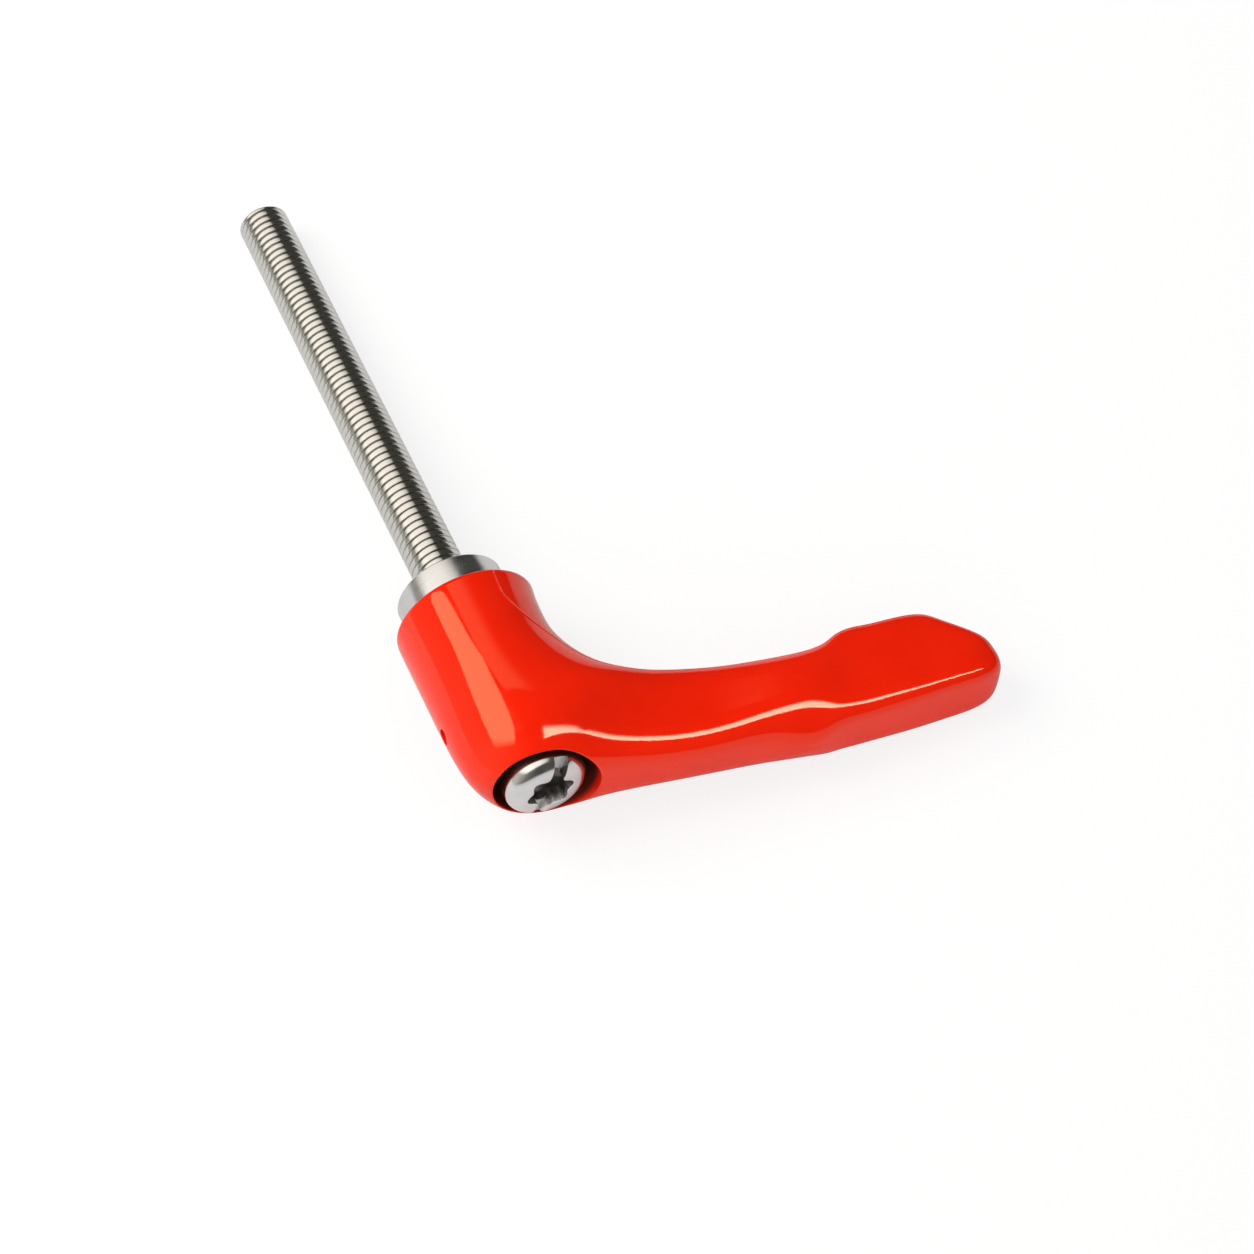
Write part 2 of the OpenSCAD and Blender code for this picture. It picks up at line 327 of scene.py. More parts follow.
def lever_stations():
    """Sections across the lever: underside distance and height, crown distance and height, half thickness,
    and squareness of the lower and the upper half, where 2 is round."""
    grip_start = ARM_REACH - GRIP_LEN
    grip_under = NECK_UNDER - GRIP_DROP

    def under(k):
        return mix(HUB_FOOT, NECK_UNDER, k)

    def belly(k):
        return mix(NECK_UNDER, grip_under, k)

    def back(k):
        return mix(HUB_FOOT, HUB_CROWN, k)

    def crown(k):
        return mix(HUB_CROWN, GRIP_TOP, k)

    def rise(k):
        return mix(grip_under, GRIP_TOP, k)

    def bend(k):
        return HUB_R + BEND_LEN * k

    def neck(k):
        return mix(bend(1), grip_start, k)

    def grip(k):
        return mix(grip_start, ARM_REACH, k)

    def ridge(k):
        return mix(-HUB_R, grip_start, k)

    def flare(k):
        return HUB_R + HUB_FLARE * k

    def root(k):
        return mix(NECK_T / 2, HUB_R, k)

    def swell(k):
        return mix(NECK_T, SWELL_T, k) / 2

    def ebb(k):
        return mix(SWELL_T, GRIP_T, k) / 2

    def tip(k):
        return GRIP_T * k / 2

    hub = [
        (flare(1) - RIM_ROUND, HUB_FOOT, RIM_ROUND - HUB_R, HUB_FOOT, HUB_R - RIM_ROUND, 2, 2),
        (flare(1), HUB_FOOT + RIM_ROUND, -HUB_R, HUB_FOOT + RIM_ROUND, HUB_R, 2, 2),
        (flare(0.7), under(0.05), -HUB_R, back(0.06), HUB_R, 2, 2),
        (flare(0.4), under(0.12), -HUB_R, back(0.17), HUB_R, 2, 2),
        (flare(0.2), under(0.22), -HUB_R, back(0.33), HUB_R, 2, 2),
        (flare(0.25), under(0.35), -HUB_R, back(0.51), HUB_R, 2, 2),
    ]
    round_bend = [
        (bend(0.16), under(0.51), -HUB_R, back(0.705), HUB_R, 2.1, 1.9),
        (bend(0.38), under(0.655), ridge(0.021), back(0.883), HUB_R, 2.3, 1.9),
        (bend(0.63), under(0.748), ridge(0.128), back(0.988), root(0.87), 2.6, 3),
        (bend(1), under(0.8), ridge(0.278), back(0.99), root(0.32), 2.9, 4),
    ]
    along_neck = [
        (neck(0.17), under(0.84), ridge(0.475), crown(0.345), root(0.03), 3.3, 3.6),
        (neck(0.38), under(0.913), ridge(0.626), crown(0.525), swell(0.2), 3.4, 3.5),
        (neck(0.63), under(0.96), ridge(0.733), crown(0.625), swell(0.85), 2.8, 3),
        (neck(0.83), NECK_UNDER, ridge(0.815), crown(0.91), swell(1), 3.2, 1.9),
        (neck(0.96), belly(0.2), ridge(0.88), crown(0.94), ebb(0.4), 3.6, 2.7),
    ]
    along_grip = [
        (grip(0.03), belly(0.79), ridge(0.91), crown(0.88), ebb(0.75), 5, 4),
        (grip(0.167), belly(0.96), ridge(0.97), crown(0.92), ebb(1), 5.4, 4.6),
        (grip(0.26), rise(0.043), grip(0.07), crown(0.93), tip(1), 5.6, 5),
        (grip(0.465), rise(0.06), grip(0.35), crown(0.975), tip(1), 5.8, 5.6),
        (grip(0.65), rise(0.106), grip(0.605), crown(0.975), tip(0.98), 6, 6),
    ]
    at_tip = [
        (grip(0.726), rise(0.222), grip(0.753), GRIP_TOP, tip(0.96), 5.6, 5.6),
        (grip(0.884), rise(0.422), grip(0.92), rise(0.98), tip(0.92), 4.6, 4.6),
        (ARM_REACH, rise(0.55), ARM_REACH, rise(0.89), tip(0.73), 3, 3),
        (ARM_REACH, rise(0.7), ARM_REACH, rise(0.76), tip(0.1), 2, 2),
    ]
    return np.array(hub + round_bend + along_neck + along_grip + at_tip)


def smooth_rows(rows, steps):
    """A uniform cubic spline along the stations, with its ends on the first and the last."""
    held = np.vstack([2 * rows[0] - rows[1], rows, 2 * rows[-1] - rows[-2]])
    s = np.arange(steps)[:, None] / steps
    weights = [(1 - s) ** 3, 3 * s ** 3 - 6 * s ** 2 + 4, -3 * s ** 3 + 3 * s ** 2 + 3 * s + 1, s ** 3]
    weights = np.hstack(weights) / 6
    spans = [weights @ held[i:i + 4] for i in range(len(rows) - 1)]
    return np.vstack([*spans, rows[-1:]])


def section(row, angles):
    """Points of a rounded section between its underside and its crown, at angles from the crown."""
    squareness = np.where(np.cos(angles) < 0, row[5], row[6])

    def rounded(v):
        return np.sign(v) * np.abs(v) ** (2 / squareness)

    along, across = rounded(np.cos(angles)), rounded(np.sin(angles))
    x = mix(row[0], row[2], (1 + along) / 2)
    height = mix(row[1], row[3], (1 + along) / 2)
    return np.column_stack([x, -height, row[4] * across])


def lever_ring(row, station):
    """One ring of the casting's skin, with the parting line's fine ridge as one of its columns on each side."""
    fine = np.linspace(0, np.pi, 1441)
    step = np.linalg.norm(np.diff(section(row, fine), axis=0), axis=1)
    length = np.concatenate([[0], np.cumsum(step)])
    # The columns are spread evenly by length and by turn, so that the edges have their share
    measure = length / length[-1] + fine / np.pi
    k = np.clip((station - SEAM_TURN[0]) / (SEAM_TURN[1] - SEAM_TURN[0]), 0, 1)
    seam = math.radians(mix(SEAM_AT_FOOT, SEAM_ON_ARM, k * k * (3 - 2 * k)))
    at_seam = np.interp(seam, fine, length)
    near, far = np.interp([at_seam - SEAM_HALF_WIDTH, at_seam + SEAM_HALF_WIDTH], length, fine)

    def spread(low, high, count):
        ends = np.interp([low, high], fine, measure)
        return np.interp(np.linspace(*ends, count), measure, fine)

    half = np.concatenate([spread(0, near, CROWN_COLUMNS), [seam], spread(far, np.pi, UNDER_COLUMNS)])
    angles = np.concatenate([half, 2 * np.pi - half[-2:0:-1]])
    ring = section(row, angles)
    outwards = ring - ring.mean(axis=0)
    outwards /= np.linalg.norm(outwards, axis=1, keepdims=True)
    for column in (CROWN_COLUMNS, len(angles) - CROWN_COLUMNS):
        ring[column] += SEAM_RIDGE * outwards[column]
    return ring


def pocket_tool(casting):
    """The round pocket in the hub's crown, opened at its mouth so that the casting's edge there is rounded."""
    skin_tree = BVHTree.FromObject(casting, bpy.context.evaluated_depsgraph_get())
    turn = np.linspace(0, 2 * np.pi, TURN_STEPS, endpoint=False)

    def crown_height(radius):
        heights = []
        for a in turn:
            start = Vector((radius * math.cos(a), -2 * GRIP_TOP, radius * math.sin(a))) * MM
            place = skin_tree.ray_cast(start, Vector((0, 1, 0)))[0]
            heights.append(-place.y / MM)
        return np.array(heights)

    rings = [circle(POCKET_R, WEB_HIGH)]
    for a in np.radians([0, 15, 30, 45, 60, 75]):
        radius = POCKET_R + POCKET_ROUND * (1 - math.cos(a))
        rings.append(circle(radius, crown_height(radius) - POCKET_ROUND * (1 - math.sin(a))))
    lip = POCKET_R + 1.4 * POCKET_ROUND
    rings.append(circle(lip, crown_height(lip) + 0.15 * POCKET_ROUND))
    rings.append(circle(lip, GRIP_TOP + OVER))
    return skin("pocket_tool", rings)


def cast_lever():
    """The casting: hub, bend, neck and stepped grip in one skin, hollowed for the insert, spring and screw."""
    rows = smooth_rows(lever_stations(), STATION_STEPS)
    casting = skin("cast_lever", [lever_ring(row, i / STATION_STEPS) for i, row in enumerate(rows)])
    bpy.context.view_layer.update()
    pocket = pocket_tool(casting)
    guide_r = COLLAR_R + GUIDE_GAP
    guide = turned("guide_tool", [
        (0, HUB_FOOT - OVER),
        (guide_r + GUIDE_BEVEL + OVER, HUB_FOOT - OVER),
        (guide_r, HUB_FOOT + GUIDE_BEVEL),
        (guide_r, COLLAR_H + TOOTH_GAP),
        (0, COLLAR_H + TOOTH_GAP),
    ])
    socket = prism("socket_tool", teeth_outline(TOOTH_GAP), COLLAR_H, WEB_LOW)
    hole = turned("hole_tool", [(0, WEB_LOW - OVER), (WEB_HOLE_R, WEB_LOW - OVER),
                                (WEB_HOLE_R, WEB_HIGH + OVER), (0, WEB_HIGH + OVER)])
    vent = turned("vent_tool", [(0, POCKET_R - OVER), (VENT_R, POCKET_R - OVER),
                                (VENT_R, HUB_R + OVER), (0, HUB_R + OVER)])
    to_back = Matrix.Translation((0, -(WEB_HIGH + VENT_RISE) * MM, 0)) @ Matrix.Rotation(-math.pi / 2, 4, "Z")
    vent.data.transform(to_back)
    for tool in (guide, socket, hole, pocket, vent):
        carve(casting, tool)
    shade(casting, 32)
    return casting


# The steel pieces

def turned_insert():
    """The insert: collar with the clamping face, locking teeth, boss, and a hole at each end."""
    insert = turned("turned_insert", [
        (0, 0),
        (COLLAR_R - COLLAR_BEVEL, 0),
        (COLLAR_R, COLLAR_BEVEL),
        (COLLAR_R, COLLAR_H - COLLAR_BEVEL),
        (COLLAR_R - COLLAR_BEVEL, COLLAR_H),
        (TOOTH_ROOT_R, COLLAR_H),
        (TOOTH_ROOT_R, WEB_LOW),
        (0, WEB_LOW),
    ])
    carve(insert, prism("teeth", teeth_outline(0), COLLAR_H - OVER, COLLAR_H + TOOTH_LEN), "UNION")
    carve(insert, turned("stud_hole", [
        (0, -OVER),
        (STUD_CORE_R + STUD_MOUTH + OVER, -OVER),
        (STUD_CORE_R, STUD_MOUTH),
        (STUD_CORE_R, STUD_SEAT),
        (0, STUD_SEAT),
    ]))
    carve(insert, turned("screw_hole", [
        (0, SCREW_FOOT), (SCREW_R, SCREW_FOOT), (SCREW_R, WEB_LOW + OVER), (0, WEB_LOW + OVER),
    ]))
    break_edges(insert, EDGE_BREAK, 30)
    shade(insert, 30)
    return insert


def stud():
    """The stud with its rolled thread, bevelled at the tip and held at the middle of its thread in the insert."""
    def limit(place):
        tip = STUD_R - np.maximum(0, place - (STUD_LEN - STUD_BEVEL))
        return np.where(place < -STUD_MOUTH / 2, STUD_CORE_R, tip)

    bar = threaded("rolled_stud", -STUD_SEAT, STUD_LEN, STUD_PITCH, STUD_CREST_R, limit)
    shade(bar, 50)
    return bar


def pan_screw():
    """The pan-head screw with a slot across a six-lobed recess, and its threaded shank."""
    edge = HEAD_R - HEAD_SWEEP
    arc = [(edge + HEAD_SWEEP * math.cos(a), HEAD_TOP - HEAD_ROUND + HEAD_ROUND * math.sin(a))
           for a in np.linspace(0, np.pi / 2, 17)]
    screw = turned("pan_screw", [(0, HEAD_LOW), (HEAD_R - EDGE_BREAK, HEAD_LOW), (HEAD_R, HEAD_LOW + EDGE_BREAK),
                                 *arc, (0, HEAD_TOP)])
    along = math.radians(90 - SLOT_TURN)
    half_w, half_l = SLOT_W / 2, 2 * HEAD_R
    corners = np.array([(half_l, half_w), (-half_l, half_w), (-half_l, -half_w), (half_l, -half_w)])
    spin = np.array([[math.cos(along), -math.sin(along)], [math.sin(along), math.cos(along)]])
    carve(screw, prism("slot", corners @ spin.T, HEAD_TOP - SLOT_DEPTH, HEAD_TOP + OVER))
    turn = np.linspace(0, 2 * np.pi, 144, endpoint=False)
    lobe_r = RECESS_R * (1 - LOBE_SHARE * (1 - np.cos(6 * turn)) / 2)
    lobes = np.column_stack([lobe_r * np.cos(turn + along), lobe_r * np.sin(turn + along)])
    carve(screw, prism("recess", lobes, HEAD_TOP - RECESS_DEPTH, HEAD_TOP + OVER))
    break_edges(screw, EDGE_BREAK, 35)
    shank = threaded("shank", -HEAD_LOW - OVER, -SCREW_FOOT, SCREW_PITCH, SCREW_R - 0.04,
                     lambda place: np.full(place.shape, SCREW_R))
    carve(screw, shank, "UNION")
    shade(screw, 35)
    return screw


def coil_spring():
    """The spring's wire, close at its end turns and ground flat at both ends."""
    length = HEAD_LOW - WEB_HIGH
    end_pitch = 1.12 * 2 * WIRE_R
    start = 0.3 * 2 * WIRE_R
    mid_pitch = (length - 2 * start - 2 * end_pitch) / (SPRING_TURNS - 2)
    side = np.linspace(0, 2 * np.pi, WIRE_SIDES, endpoint=False)
    rings = []
    for t in np.arange(SPRING_TURNS * WIRE_STEPS + 1) / WIRE_STEPS:
        middle = np.clip(t, 1, SPRING_TURNS - 1) - 1
        height = WEB_HIGH + start + end_pitch * (t - middle) + mid_pitch * middle
        radius = SPRING_R - WIRE_R + WIRE_R * np.cos(side)
        a = 2 * np.pi * t
        rings.append(np.column_stack([radius * np.cos(a), -height - WIRE_R * np.sin(side), radius * np.sin(a)]))
    spring = skin("coil_spring", rings)
    room = turned("room", [(0, WEB_HIGH), (2 * SPRING_R, WEB_HIGH), (2 * SPRING_R, HEAD_LOW), (0, HEAD_LOW)])
    carve(spring, room, "INTERSECT")
    shade(spring, 40)
    return spring


# Shader tools

def feed(tree, socket, value):
    """Links an input to another socket, or sets it to a value."""
    if isinstance(value, bpy.types.NodeSocket):
        tree.links.new(value, socket)
    else:
        socket.default_value = value


def add(tree, kind, links=None, **values):
    """Adds a node, sets its options by name, and feeds the inputs that are given."""
    made = tree.nodes.new(kind)
    for key, value in values.items():
        setattr(made, key, value)
    for key, value in (links or {}).items():
        feed(tree, made.inputs[key], value)
    return made


def math_node(tree, operation, *values):
    return add(tree, "ShaderNodeMath", dict(enumerate(values)), operation=operation).outputs[0]


def to_range(tree, value, low, high):
    """A value from 0 to 1 carried to another range."""
    return add(tree, "ShaderNodeMapRange", {"Value": value, "To Min": low, "To Max": high}).outputs["Result"]


def from_axis(tree, place):
    """Distance from the stud's axis, in metres."""
    parts = add(tree, "ShaderNodeSeparateXYZ", {"Vector": place}).outputs
    return math_node(tree, "SQRT", math_node(
        tree, "ADD", math_node(tree, "MULTIPLY", parts["X"], parts["X"]),
        math_node(tree, "MULTIPLY", parts["Z"], parts["Z"])))


def new_group(name, inputs, outputs):
    """A shader node group with number inputs and outputs, and the place on the piece as its first input."""
    tree = bpy.data.node_groups.new(name, "ShaderNodeTree")
    tree.interface.new_socket("Place", in_out="INPUT", socket_type="NodeSocketVector")
    for label, value in inputs.items():
        tree.interface.new_socket(label, in_out="INPUT", socket_type="NodeSocketFloat").default_value = value
    for label in outputs:
        tree.interface.new_socket(label, in_out="OUTPUT", socket_type="NodeSocketFloat")
    return tree, tree.nodes.new("NodeGroupInput").outputs, tree.nodes.new("NodeGroupOutput").inputs


def make_lathe_marks():
    """Fine rings round the stud's axis, as a turning tool leaves them on sides and faces alike."""
    tree, given, out = new_group("lathe_marks", {"Rings Per Metre": 9000.0, "Drift": 1.2}, ["Tone", "Height"])
    parts = add(tree, "ShaderNodeSeparateXYZ", {"Vector": given["Place"]}).outputs
    radius = from_axis(tree, given["Place"])
    angle = math_node(tree, "ARCTAN2", parts["Z"], parts["X"])
    rings = add(tree, "ShaderNodeCombineXYZ", {
        "X": math_node(tree, "MULTIPLY", parts["Y"], given["Rings Per Metre"]),
        "Y": math_node(tree, "MULTIPLY", radius, given["Rings Per Metre"]),
        "Z": math_node(tree, "MULTIPLY", math_node(tree, "ABSOLUTE", angle), given["Drift"]),
    }).outputs[0]
    marks = add(tree, "ShaderNodeTexNoise", {"Vector": rings, "Scale": 1.0, "Detail": 3.0, "Roughness": 0.6})
    sharp = add(tree, "ShaderNodeMapRange", {"Value": marks.outputs["Fac"], "From Min": 0.3, "From Max": 0.7})
    tree.links.new(sharp.outputs["Result"], out["Tone"])
    tree.links.new(marks.outputs["Fac"], out["Height"])
    return tree


def make_mottle():
    """Soft uneven patches with a finer grain in them, for coats and rolled or drawn metal."""
    tree, given, out = new_group("mottle", {"Patches Per Metre": 300.0, "Grain Per Metre": 4000.0},
                                 ["Patch", "Grain"])
    patch = add(tree, "ShaderNodeTexNoise", {
        "Vector": given["Place"], "Scale": given["Patches Per Metre"], "Detail": 3.0, "Roughness": 0.55})
    grain = add(tree, "ShaderNodeTexNoise", {
        "Vector": given["Place"], "Scale": given["Grain Per Metre"], "Detail": 2.0, "Roughness": 0.5})
    for noise, label in ((patch, "Patch"), (grain, "Grain")):
        spread = add(tree, "ShaderNodeMapRange", {
            "Value": noise.outputs["Fac"], "From Min": 0.3, "From Max": 0.7})
        tree.links.new(spread.outputs["Result"], out[label])
    return tree


LATHE_MARKS = make_lathe_marks()
MOTTLE = make_mottle()


def new_material(name):
    """A material with its surface shader, and the place on the piece in the frame's own metres."""
    material = bpy.data.materials.new(name)
    material.use_nodes = True
    tree = material.node_tree
    place = tree.nodes.new("ShaderNodeTexCoord").outputs["Object"]
    return material, tree, tree.nodes["Principled BSDF"].inputs, place


def use_group(tree, group, links):
    """Places a node group and feeds its inputs."""
    return add(tree, "ShaderNodeGroup", links, node_tree=group).outputs


def fade_in(tree, value, start, full):
    """A mask that rises from 0 to 1 between two values, in millimetres."""
    ends = {"Value": value, "From Min": start * MM, "From Max": full * MM}
    return add(tree, "ShaderNodeMapRange", ends, interpolation_type="SMOOTHSTEP").outputs["Result"]


def blend(tree, factor, first, second):
    """A mix of two colours or values."""
    kind = "FLOAT" if isinstance(second, float) else "RGBA"
    node = add(tree, "ShaderNodeMix", data_type=kind)
    ends = [s for s in node.inputs if s.enabled]
    for socket, value in zip(ends, (factor, first, second)):
        feed(tree, socket, value)
    return next(s for s in node.outputs if s.enabled)


def two_tone(tree, factor, first, second):
    """A colour between two, by a factor."""
    ramp = tree.nodes.new("ShaderNodeValToRGB")
    for element, colour in zip(ramp.color_ramp.elements, (first, second)):
        element.color = (*colour, 1)
    tree.links.new(factor, ramp.inputs["Fac"])
    return ramp.outputs["Color"]


def bump(tree, height, strength, depth):
    """A surface normal from a height, with the depth in millimetres."""
    relief = {"Height": height, "Strength": strength, "Distance": depth * MM}
    return add(tree, "ShaderNodeBump", relief).outputs["Normal"]


# The finishes

def gloss_coat():
    """Gloss orange-red powder coat, with its faint orange peel, and painted shade that darkens and dulls it
    inside the pocket.
    """
    material, tree, surface, place = new_material("gloss_red_coat")
    mottle = use_group(tree, MOTTLE, {"Place": place, "Patches Per Metre": 130.0, "Grain Per Metre": 900.0})
    parts = add(tree, "ShaderNodeSeparateXYZ", {"Vector": place}).outputs
    rim = math_node(tree, "MULTIPLY_ADD", parts["X"], RIM_SLOPE, RIM_HEIGHT * MM)
    below_rim = fade_in(tree, math_node(tree, "ADD", rim, parts["Y"]), 0.2, 1.4)
    inside = fade_in(tree, from_axis(tree, place), POCKET_R + 0.3, POCKET_R + 0.05)
    pocket_shade = math_node(tree, "MULTIPLY", below_rim, inside)
    coat = two_tone(tree, mottle["Patch"], (0.85, 0.0125, 0.0014), (0.91, 0.0155, 0.002))
    # Painted shade: inside the pocket, below its rim, the coat turns dark red and rougher.
    tree.links.new(blend(tree, pocket_shade, coat, (0.10, 0.006, 0.003, 1)), surface["Base Color"])
    tree.links.new(blend(tree, pocket_shade, to_range(tree, mottle["Grain"], 0.05, 0.09), 0.5), surface["Roughness"])
    tree.links.new(bump(tree, mottle["Grain"], 0.10, 0.02), surface["Normal"])
    surface["Specular Tint"].default_value = (1, 1, 0.62, 1)
    surface["Specular IOR Level"].default_value = 0.5
    return material


def turned_stainless():
    """Finely turned stainless, with rings and uneven bright and dull patches."""
    material, tree, surface, place = new_material("turned_stainless")
    marks = use_group(tree, LATHE_MARKS, {"Place": place, "Rings Per Metre": 11000.0, "Drift": 1.5})
    mottle = use_group(tree, MOTTLE, {"Place": place, "Patches Per Metre": 420.0, "Grain Per Metre": 6000.0})
    worn = math_node(tree, "MULTIPLY", marks["Tone"], mottle["Patch"])
    tree.links.new(two_tone(tree, worn, (0.68, 0.68, 0.69), (0.82, 0.82, 0.83)), surface["Base Color"])
    tree.links.new(to_range(tree, mottle["Patch"], 0.15, 0.28), surface["Roughness"])
    tree.links.new(bump(tree, marks["Height"], 0.25, 0.02), surface["Normal"])
    surface["Metallic"].default_value = 1.0
    return material


def thread_stainless():
    """Rolled thread: bright crests and flanks, duller in the roots, with painted shade darkening the roots."""
    material, tree, surface, place = new_material("thread_stainless")
    crest = fade_in(tree, from_axis(tree, place), STUD_CREST_R - GROOVE_DEPTH * STUD_PITCH, STUD_CREST_R - 0.15)
    mottle = use_group(tree, MOTTLE, {"Place": place, "Patches Per Metre": 250.0, "Grain Per Metre": 5000.0})
    # Painted shade: the thread's roots turn dark, judged by their distance from the axis.
    tree.links.new(two_tone(tree, crest, (0.28, 0.26, 0.24), (0.72, 0.71, 0.69)), surface["Base Color"])
    rough = math_node(tree, "MULTIPLY", math_node(tree, "SUBTRACT", 1.5, crest), to_range(
        tree, mottle["Grain"], 0.27, 0.35))
    tree.links.new(rough, surface["Roughness"])
    tree.links.new(bump(tree, mottle["Grain"], 0.05, 0.01), surface["Normal"])
    surface["Metallic"].default_value = 1.0
    return material


def bright_steel():
    """Bright screw steel with faint turning rings and handling marks, and painted shade deep in its recess and
    slot.
    """
    material, tree, surface, place = new_material("screw_steel")
    marks = use_group(tree, LATHE_MARKS, {"Place": place, "Rings Per Metre": 7000.0, "Drift": 0.8})
    mottle = use_group(tree, MOTTLE, {"Place": place, "Patches Per Metre": 500.0, "Grain Per Metre": 5000.0})
    parts = add(tree, "ShaderNodeSeparateXYZ", {"Vector": place}).outputs
    depth = math_node(tree, "ADD", parts["Y"], HEAD_TOP * MM)
    along = math.radians(90 - SLOT_TURN)
    across = math_node(tree, "ABSOLUTE", math_node(
        tree, "SUBTRACT", math_node(tree, "MULTIPLY", parts["Z"], math.cos(along)),
        math_node(tree, "MULTIPLY", parts["X"], math.sin(along))))
    in_recess = math_node(tree, "MULTIPLY", fade_in(tree, from_axis(tree, place), RECESS_R + 0.15, RECESS_R),
                          fade_in(tree, depth, RECESS_DEPTH + 0.3, RECESS_DEPTH + 0.1))
    in_slot = math_node(tree, "MULTIPLY", fade_in(tree, across, SLOT_W / 2 + 0.1, SLOT_W / 2 - 0.02),
                        fade_in(tree, depth, SLOT_DEPTH + 0.3, SLOT_DEPTH + 0.1))
    in_slot = math_node(tree, "MULTIPLY", in_slot, SLOT_SHADE)
    # Painted shade: deep in the recess and the slot the steel turns dark and rougher, more so with depth.
    recess_shade = math_node(tree, "MULTIPLY", fade_in(tree, depth, 0.2, 1.6), math_node(
        tree, "MAXIMUM", in_recess, in_slot))
    steel = two_tone(tree, mottle["Patch"], (0.74, 0.74, 0.74), (0.84, 0.84, 0.85))
    tree.links.new(blend(tree, recess_shade, steel, (0.24, 0.23, 0.22, 1)), surface["Base Color"])
    tree.links.new(blend(tree, recess_shade, to_range(tree, mottle["Patch"], 0.13, 0.24), 0.3), surface["Roughness"])
    tree.links.new(bump(tree, marks["Height"], 0.12, 0.02), surface["Normal"])
    surface["Metallic"].default_value = 1.0
    return material


def spring_wire():
    """Drawn spring wire, a little grey."""
    material, tree, surface, place = new_material("spring_wire")
    mottle = use_group(tree, MOTTLE, {"Place": place, "Patches Per Metre": 400.0, "Grain Per Metre": 5000.0})
    wire = two_tone(tree, mottle["Patch"], (0.42, 0.42, 0.43), (0.56, 0.56, 0.57))
    tree.links.new(wire, surface["Base Color"])
    tree.links.new(to_range(tree, mottle["Grain"], 0.25, 0.38), surface["Roughness"])
    surface["Metallic"].default_value = 1.0
    return material


# The pieces on their bodies

def put(piece, material, body, node):
    """Gives a piece its finish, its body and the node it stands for."""
    piece.data.materials.clear()
    piece.data.materials.append(material)
    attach(piece, body)
    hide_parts(node)
    return piece


lever = put(cast_lever(), gloss_coat(), "lever", "lever")
insert = put(turned_insert(), turned_stainless(), "stud_assembly", "toothed_insert")
bar = put(stud(), thread_stainless(), "stud_assembly", "threaded_stud")
screw = put(pan_screw(), bright_steel(), "stud_assembly", "retaining_screw")
spring = put(coil_spring(), spring_wire(), "spring", "compression_spring")
steel = [insert, bar, screw, spring]
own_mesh(spring)

# The stage: a white floor that touches hub, stud and arm where the part comes to rest

FLOOR_HALF = 1500.0
HUB_REST = Vector((0, -HUB_FOOT, -HUB_R))
STUD_REST = Vector((0, STUD_LEN - STUD_BEVEL, -STUD_R))
ARM_REST = Vector((ARM_REACH - 1.5, -(GRIP_TOP - 5), -GRIP_T / 2))


def floor_paper():
    """White paper that shows at its own white, with the part's shadow on it at part strength."""
    material, tree, surface, _ = new_material("floor_paper")
    surface["Base Color"].default_value = (0.7, 0.7, 0.7, 1)
    surface["Roughness"].default_value = 0.9
    surface["Specular IOR Level"].default_value = 0.1
    rays = tree.nodes.new("ShaderNodeLightPath").outputs
    share = math_node(tree, "MULTIPLY", rays["Is Camera Ray"], 0.72)
    white = add(tree, "ShaderNodeEmission", {"Color": (1, 1, 1, 1), "Strength": 1.12})
    shader = add(tree, "ShaderNodeMixShader", {0: share})
    tree.links.new(tree.nodes["Principled BSDF"].outputs[0], shader.inputs[1])
    tree.links.new(white.outputs[0], shader.inputs[2])
    tree.links.new(shader.outputs[0], tree.nodes["Material Output"].inputs["Surface"])
    return material


def lay_floor():
    up = (STUD_REST - HUB_REST).cross(HUB_REST - ARM_REST).normalized()
    if up.z < 0:
        up = -up
    across = Vector((0, 1, 0)).cross(up).normalized() * FLOOR_HALF
    along = up.cross(across)
    corners = [HUB_REST + across * i + along * j for i, j in ((-1, -1), (1, -1), (1, 1), (-1, 1))]
    floor = piece_from("floor", [tuple(c) for c in corners], [(0, 1, 2, 3)])
    floor.data.materials.append(floor_paper())


lay_floor()


LAMP_AIM = Vector((0.02, -0.02, 0))


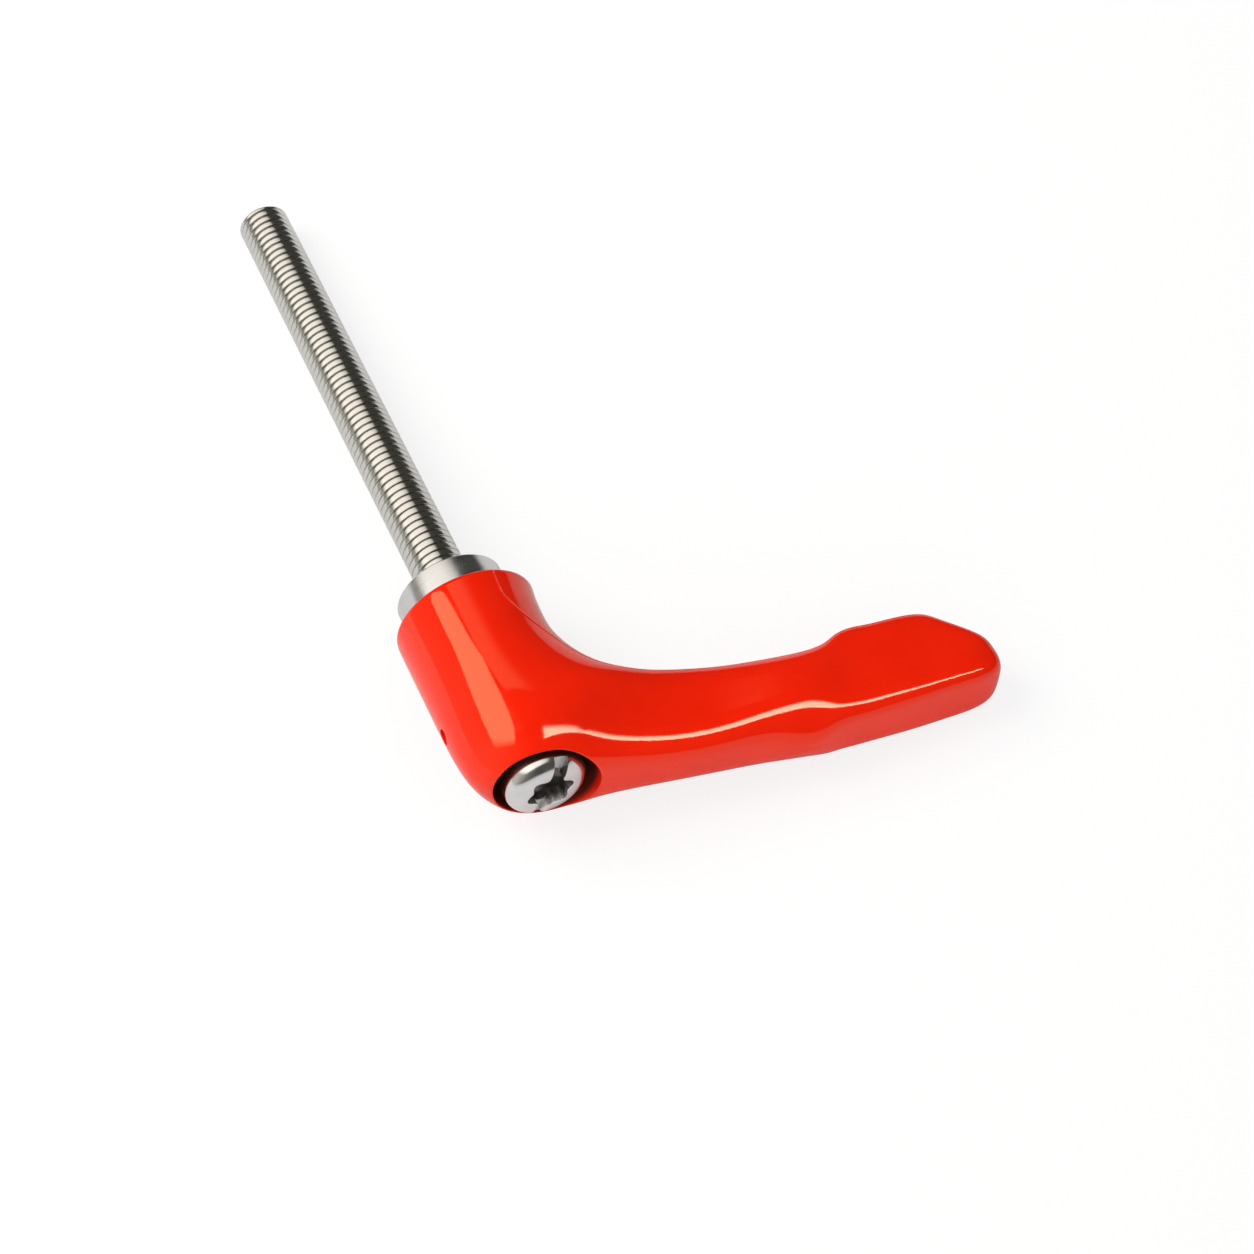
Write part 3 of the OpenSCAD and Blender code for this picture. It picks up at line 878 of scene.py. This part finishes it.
def softbox(name, towards, along, distance, size, radiance, colour,
            fade=((0, 1), (1, 1)), taper=0.0, ease=0.0, on=()):
    """An area lamp that looks at the part from a direction, with its first side along another, in metres.
    The fade gives its brightness at places along that side, from 0 to 1, and the taper moves these places
    towards one end. The ease is the share of the other side at whose far end the lamp dies away.
    A lamp either shines in the gloss of some pieces or lights all colours."""
    back = Vector(towards).normalized()
    along = Vector(along)
    side = (along - back * along.dot(back)).normalized()
    lamp = bpy.data.lights.new(name, "AREA")
    lamp.shape = "RECTANGLE"
    lamp.size, lamp.size_y = size
    lamp.energy = radiance * math.pi * size[0] * size[1]
    lamp.color = colour
    lamp.use_nodes = True
    tree = lamp.node_tree
    across = add(tree, "ShaderNodeSeparateXYZ", {
        "Vector": tree.nodes.new("ShaderNodeNewGeometry").outputs["Parametric"]}).outputs
    ramp = add(tree, "ShaderNodeValToRGB", {
        "Fac": math_node(tree, "MULTIPLY_ADD", across["Y"], taper, across["X"])})
    steps = ramp.color_ramp.elements
    while len(steps) < len(fade):
        steps.new(1.0)
    for step, (place, level) in zip(steps, fade):
        step.position = place
        step.color = (level, level, level, 1)
    tree.links.new(ramp.outputs["Color"], tree.nodes["Emission"].inputs["Color"])
    if ease:
        grown = add(tree, "ShaderNodeMapRange", {"Value": across["Y"], "From Min": 1.0, "From Max": 1 - ease},
                    interpolation_type="SMOOTHSTEP")
        tree.links.new(grown.outputs["Result"], tree.nodes["Emission"].inputs["Strength"])
    stand = bpy.data.objects.new(name, lamp)
    turn = Matrix((side, back.cross(side), back)).transposed().to_4x4()
    stand.matrix_world = Matrix.Translation(LAMP_AIM + back * distance) @ turn
    stand.visible_camera = False
    stand.visible_diffuse = not on
    stand.visible_glossy = bool(on)
    if on:
        lit = bpy.data.collections.new("lit_by_" + name)
        for piece in on:
            lit.objects.link(piece)
        stand.light_linking.receiver_collection = lit
    bpy.context.scene.collection.objects.link(stand)


softbox("window_behind_left", (-0.658, 0.287, 0.697), (0.595, 0.804, 0.008), 0.85, (0.76, 0.42), 3.8,
        (1.0, 0.94, 0.70), fade=((0, 0), (0.12, 0.5), (0.25, 1), (1, 1)), on=[lever])
softbox("door_behind", (0, 0.57, 0.82), (1, 0, 0), 0.8, (0.44, 0.28), 1.1, (1.0, 0.94, 0.70),
        fade=((0, 1), (0.5, 0.85), (0.8, 0.15), (1, 0)), on=[lever])
softbox("strip_in_front", (0.31, -0.24, 0.92), (0, 1, 0), 0.8, (0.34, 0.55), 14.5,
        (0.93, 0.93, 1.0), fade=((0, 1), (0.1, 0.95), (0.25, 0.25), (0.35, 0)), taper=-0.65,
        ease=0.16, on=[lever])
softbox("window_on_steel", (-0.40, 0.19, 0.9), (1, 0, 0), 0.8, (1.3, 1.66), 1.15, (1.0, 0.94, 0.86),
        fade=((0, 0.4), (0.2, 1), (0.65, 1), (0.85, 0.7), (1, 0.35)), on=steel)
softbox("key_from_left", (-0.6, 0.3, 0.74), (1, 0, 0), 0.8, (0.5, 0.5), 5.75, (1.0, 0.98, 0.93))


def studio_room():
    """A plain room that lights the part evenly, shows as white, and is dark where a gloss mirrors it."""
    world = bpy.data.worlds.new("studio_room")
    bpy.context.scene.world = world
    world.use_nodes = True
    tree = world.node_tree
    rays = tree.nodes.new("ShaderNodeLightPath").outputs
    towards = add(tree, "ShaderNodeSeparateXYZ", {
        "Vector": tree.nodes.new("ShaderNodeTexCoord").outputs["Generated"]}).outputs
    front = math_node(tree, "MULTIPLY", math_node(tree, "MAXIMUM", math_node(
        tree, "MULTIPLY", towards["Y"], -1.0), 0.0), 0.92)
    left = math_node(tree, "MAXIMUM", math_node(tree, "MULTIPLY", towards["X"], -1.0), 0.0)
    lit = math_node(tree, "ADD", 0.26, math_node(tree, "MULTIPLY_ADD", left, 0.38, front))
    glow = math_node(tree, "MULTIPLY_ADD", math_node(tree, "POWER", left, 2.5), 0.55, 0.05)
    felt = add(tree, "ShaderNodeMix", {"Factor": rays["Is Glossy Ray"], "A": lit, "B": glow}).outputs["Result"]
    shown = add(tree, "ShaderNodeMix", {"Factor": rays["Is Camera Ray"], "A": felt, "B": 1.0}).outputs["Result"]
    tree.links.new(shown, tree.nodes["Background"].inputs["Strength"])
    tint = blend(tree, rays["Is Glossy Ray"], (1, 1, 1, 1), (1, 0.94, 0.82, 1))
    tree.links.new(tint, tree.nodes["Background"].inputs["Color"])


studio_room()

# The camera stands where the picture was taken from, and the picture is square.
CAMERA_PLACE = Vector((-92.98, -230.63, 320.2)) * MM
CAMERA_AHEAD = Vector((0.2838, 0.5348, -0.7959))
CAMERA_RIGHT = Vector((0.9126, -0.4055, 0.053))
PICTURE_SIDE = 1254
FOCAL_PIXELS = 2815


def set_camera():
    data = bpy.data.cameras.new("camera")
    data.sensor_width = 36
    data.lens = data.sensor_width * FOCAL_PIXELS / PICTURE_SIDE
    camera = bpy.data.objects.new("camera", data)
    ahead = CAMERA_AHEAD.normalized()
    up = CAMERA_RIGHT.cross(ahead).normalized()
    right = ahead.cross(up)
    turn = Matrix((right, up, -ahead)).transposed().to_4x4()
    camera.matrix_world = Matrix.Translation(CAMERA_PLACE) @ turn
    data.clip_start = 0.01
    data.clip_end = 10
    bpy.context.scene.collection.objects.link(camera)
    bpy.context.scene.camera = camera


set_camera()
bpy.context.scene.view_settings.view_transform = "Standard"
